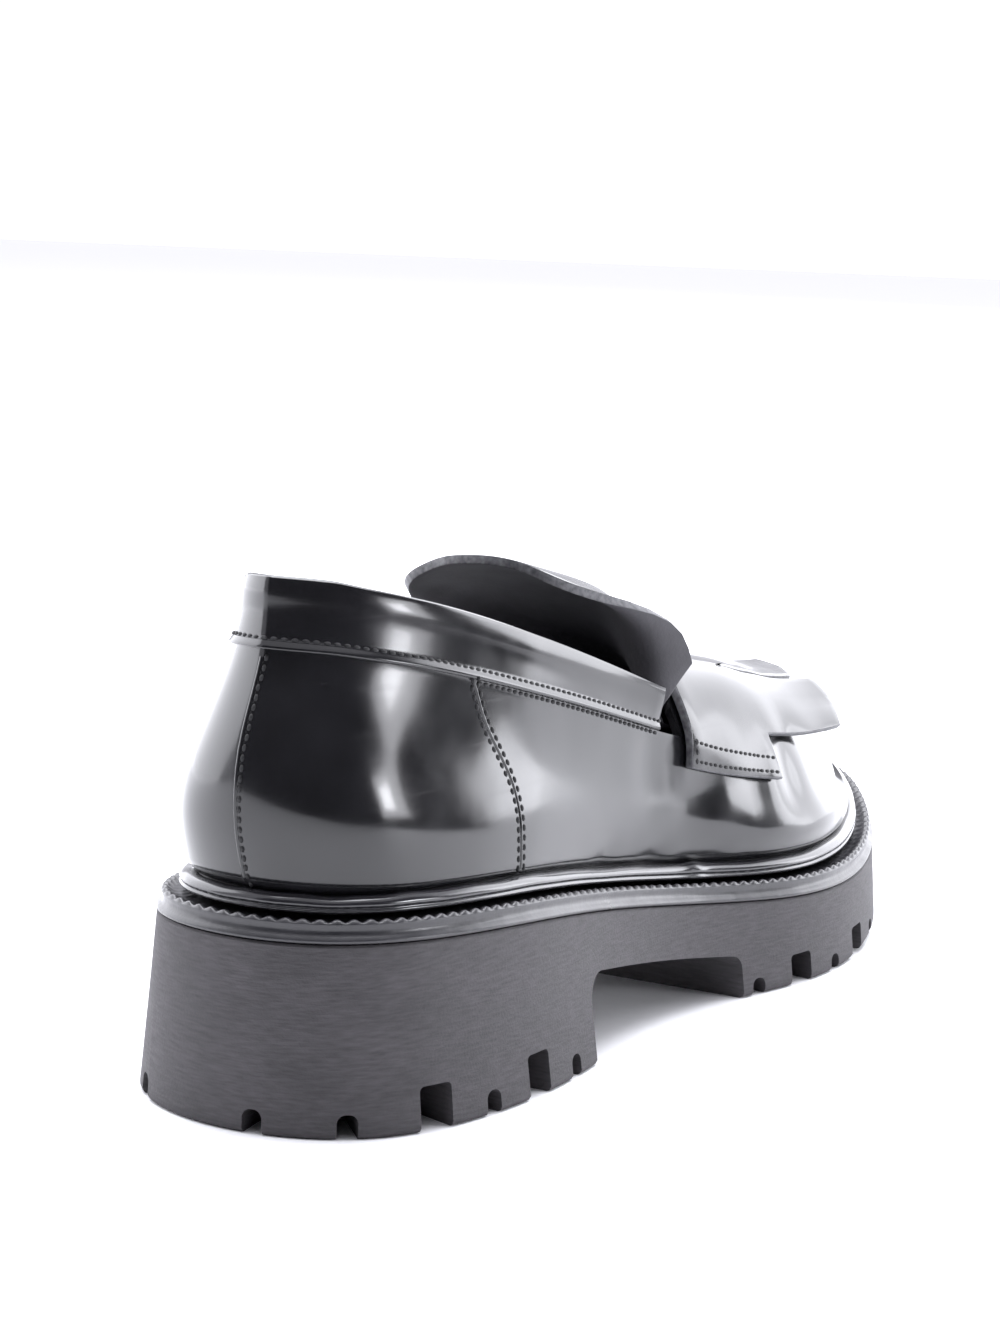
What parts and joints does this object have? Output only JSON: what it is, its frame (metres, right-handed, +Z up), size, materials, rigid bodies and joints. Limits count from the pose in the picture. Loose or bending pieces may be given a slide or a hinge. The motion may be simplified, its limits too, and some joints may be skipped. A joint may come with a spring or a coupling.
{
  "type": "chunky lug sole loafer",
  "caption": "Right-foot slip-on loafer with a thick lugged rubber sole and block heel, ribbed welt, glossy upper with raised collar, standing tongue and fringed kiltie strap.",
  "frame": {"origin": "centre of the heel's tread, on the floor", "axes": "+Z up, +Y from heel to toe along the shoe, +X to the shoe's outer (lateral) side"},
  "size_m": [0.1041, 0.2871, 0.1169],
  "materials": {
    "sole_rubber": "matte charcoal with fine brushing",
    "welt_rubber": "smooth semi-gloss band, ribbed top edge",
    "rand_gloss": "glossy black",
    "upper_leather": "polished black",
    "insole_lining": "matte black",
    "tongue_leather": "polished black, matte lining",
    "kiltie_leather": "polished black"
  },
  "bodies": {
    "root": {"outsole": "sole_rubber", "welt": "welt_rubber", "rand": "rand_gloss", "upper": "upper_leather", "insole": "insole_lining", "tongue": "tongue_leather", "kiltie": "kiltie_leather"}
  },
  "joints": []
}
